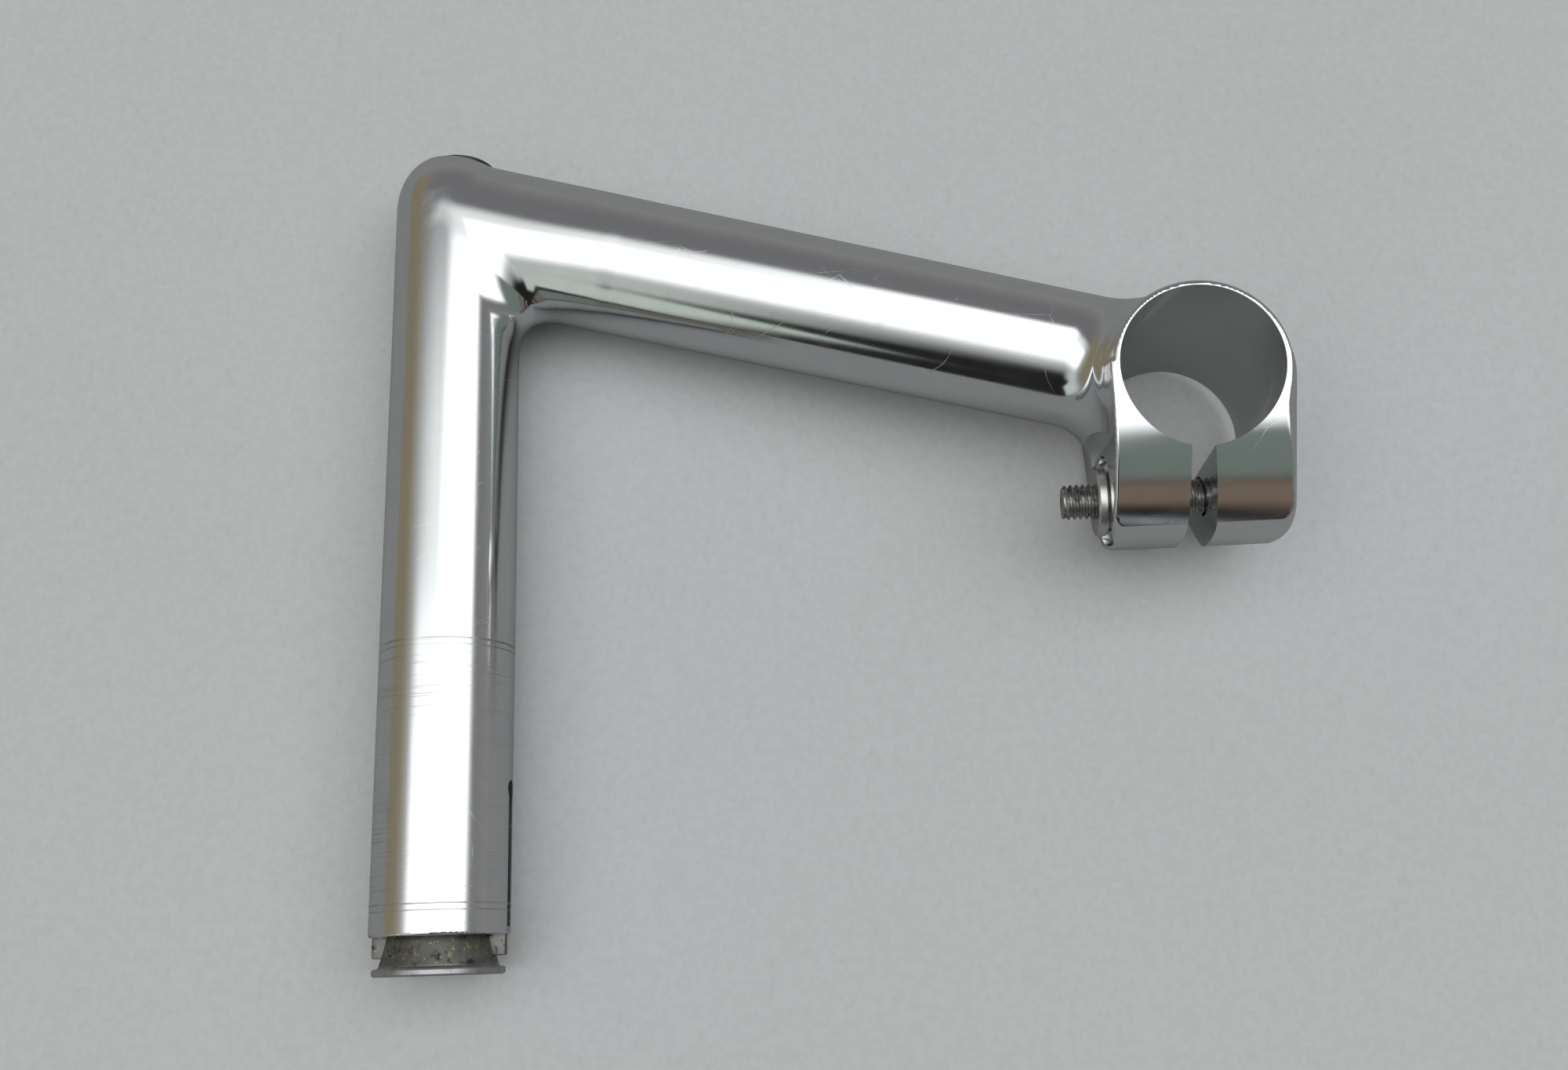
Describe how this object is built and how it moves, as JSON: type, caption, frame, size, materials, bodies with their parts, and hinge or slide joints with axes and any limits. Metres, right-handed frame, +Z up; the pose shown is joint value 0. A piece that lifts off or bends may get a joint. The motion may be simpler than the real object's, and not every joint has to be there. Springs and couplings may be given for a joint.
{
  "type": "bicycle handlebar stem",
  "caption": "Polished quill stem for a road bicycle: a forged handlebar clamp, extension and slotted quill with its expander and its clamp bolt.",
  "frame": {"origin": "on the quill's axis at the minimum-insertion mark, 45 mm above the quill's lower end", "axes": "+Z up the quill toward the extension, +X forward along the bicycle to the handlebar clamp, +Y along the handlebar to the rider's left"},
  "size_m": [0.1536, 0.038, 0.141],
  "materials": {
    "polished_alloy": "mirror polished and clear anodised, finely scratched where the steerer holds it",
    "black_steel": "black oxide, oiled",
    "washer_steel": "plain steel",
    "cone_steel": "zinc plated, dull, with old grease",
    "zinc_steel": "zinc plated, satin",
    "nut_steel": "zinc plated, turned, slightly grimy"
  },
  "bodies": {
    "stem": {"stem_body": "polished_alloy", "expander_washer": "washer_steel"},
    "expander_bolt": {"expander_bolt": "black_steel"},
    "expander_cone": {"expander_cone": "cone_steel"},
    "clamp_bolt": {"clamp_bolt": "zinc_steel"},
    "clamp_nut": {"clamp_nut": "nut_steel"}
  },
  "joints": [
    {"name": "expander_bolt_turn", "type": "hinge", "parent": "stem", "child": "expander_bolt", "pos_m": [0, 0, 0], "axis": [0, 0, 1], "range_deg": [-460, 1728]},
    {"name": "cone_slide", "type": "slide", "parent": "stem", "child": "expander_cone", "axis": [0, 0, 1], "range_m": [-0.0061, 0.0016]},
    {"name": "clamp_bolt_turn", "type": "hinge", "parent": "stem", "child": "clamp_bolt", "pos_m": [0.12496, 0, 0.02177], "axis": [1, 0, 0], "range_deg": [-460, 1440]},
    {"name": "clamp_nut_slide", "type": "slide", "parent": "stem", "child": "clamp_nut", "axis": [1, 0, 0], "range_m": [-0.0041, 0.0013]}
  ],
  "couplings": [
    {"joint": "cone_slide", "follows": "expander_bolt_turn", "m_per_rad": -0.00019894},
    {"joint": "clamp_nut_slide", "follows": "clamp_bolt_turn", "m_per_rad": -0.00015915}
  ]
}
